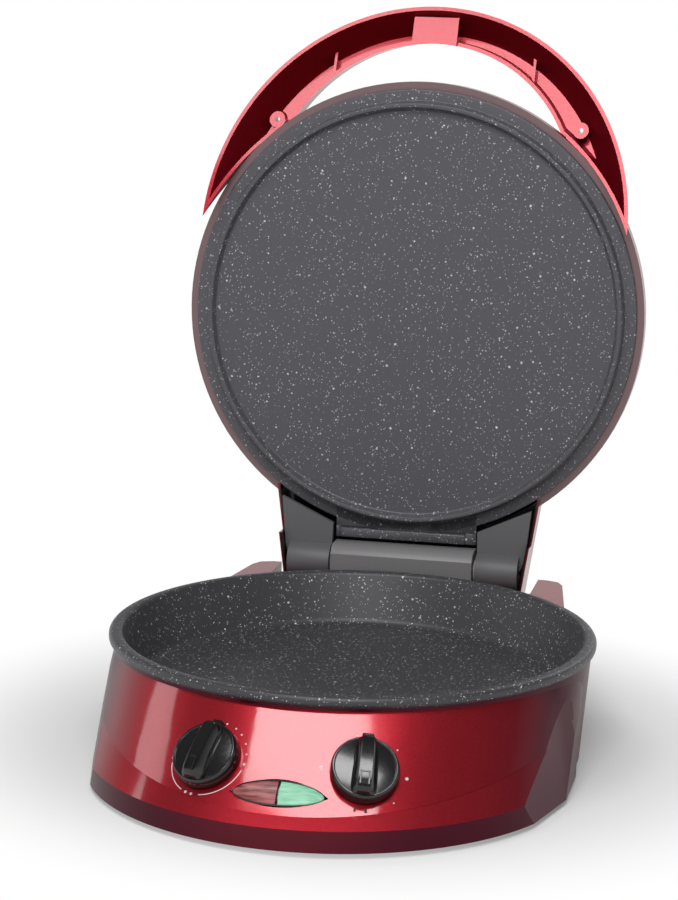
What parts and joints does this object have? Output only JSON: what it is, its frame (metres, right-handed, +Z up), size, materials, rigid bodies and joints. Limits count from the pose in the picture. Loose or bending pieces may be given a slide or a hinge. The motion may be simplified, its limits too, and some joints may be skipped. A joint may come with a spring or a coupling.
{
  "type": "electric pie maker",
  "caption": "Round countertop pie maker: hinged domed lid with front grip, deep non-stick dish, two rotary controls and twin indicator window.",
  "frame": {"origin": "on the supporting surface, under the centre of the whole outline with the lid standing open; the middle of the lower baking dish is 30.7 mm in front of it", "axes": "+Z up, -Y towards the controls, +X to the user's right; lid hinge axis parallel to X"},
  "size_m": [0.323, 0.4864, 0.4686],
  "materials": {
    "pearl_red_shell": "pearl paint with fine sparkle under a gloss coat",
    "pearl_red_lid": "pearl paint with fine sparkle under a gloss coat",
    "pearl_red_handle": "pearl gloss",
    "granite_coat_lower": "speckled non-stick coating on cast aluminium",
    "granite_coat_upper": "speckled non-stick coating on cast aluminium",
    "hinge_grey": "satin",
    "hinge_block_grey": "satin",
    "knob_black": "gloss",
    "lens_red": "translucent",
    "lens_green": "translucent, lit",
    "bezel_black": "gloss",
    "floor_black": "textured",
    "rubber_black": "matt",
    "zinc_steel": "zinc plated",
    "heater_steel": "heat tinted",
    "pan_steel": "bright",
    "aluminium_post": "machined",
    "case_white": "moulded",
    "bell_brass": "polished",
    "washer_nylon": "moulded",
    "lamp_glass": "clear",
    "gland_black": "matt"
  },
  "bodies": {
    "base": {"base_shell": "pearl_red_shell", "bottom_cover": "floor_black", "rubber_feet": "rubber_black", "cover_screws": "zinc_steel", "reflector_posts": "floor_black", "lower_baking_plate": "granite_coat_lower", "lower_heating_element": "heater_steel", "lower_reflector": "pan_steel", "plate_spacers": "aluminium_post", "support_posts": "zinc_steel", "timer_mechanism": "case_white", "timer_bell": "bell_brass", "thermostat": "case_white", "power_lens": "lens_red", "ready_lens": "lens_green", "indicator_bezel": "bezel_black", "neon_lamps": "lamp_glass", "lamp_holder": "case_white", "terminal_block": "case_white", "cable_gland": "gland_black", "hinge_block": "hinge_block_grey", "hinge_pin": "zinc_steel", "hinge_washers": "washer_nylon", "hinge_screws": "zinc_steel"},
    "lid": {"upper_baking_plate": "granite_coat_upper", "lid_shell": "pearl_red_lid", "hinge_cover_left": "hinge_grey", "hinge_cover_right": "hinge_grey", "lid_handle": "pearl_red_handle", "upper_heating_element": "heater_steel", "upper_reflector": "pan_steel", "upper_spacers": "aluminium_post", "lid_posts": "zinc_steel"},
    "timer_dial": {"timer_knob": "knob_black", "timer_shaft": "zinc_steel"},
    "thermostat_dial": {"thermostat_knob": "knob_black", "thermostat_shaft": "zinc_steel"}
  },
  "joints": [
    {"name": "lid_hinge", "type": "hinge", "parent": "base", "child": "lid", "pos_m": [0, 0.14913, 0.0788], "axis": [-1, 0, 0], "range_deg": [-93, 0]},
    {"name": "timer_turn", "type": "hinge", "parent": "base", "child": "timer_dial", "pos_m": [-0.0508, -0.2055, 0.0435], "axis": [-0.2067, -0.6762, 0.7071], "range_deg": [-300, 0]},
    {"name": "thermostat_turn", "type": "hinge", "parent": "base", "child": "thermostat_dial", "pos_m": [0.0442, -0.20766, 0.0435], "axis": [0.2067, -0.6762, 0.7071], "range_deg": [-240, 30]}
  ]
}
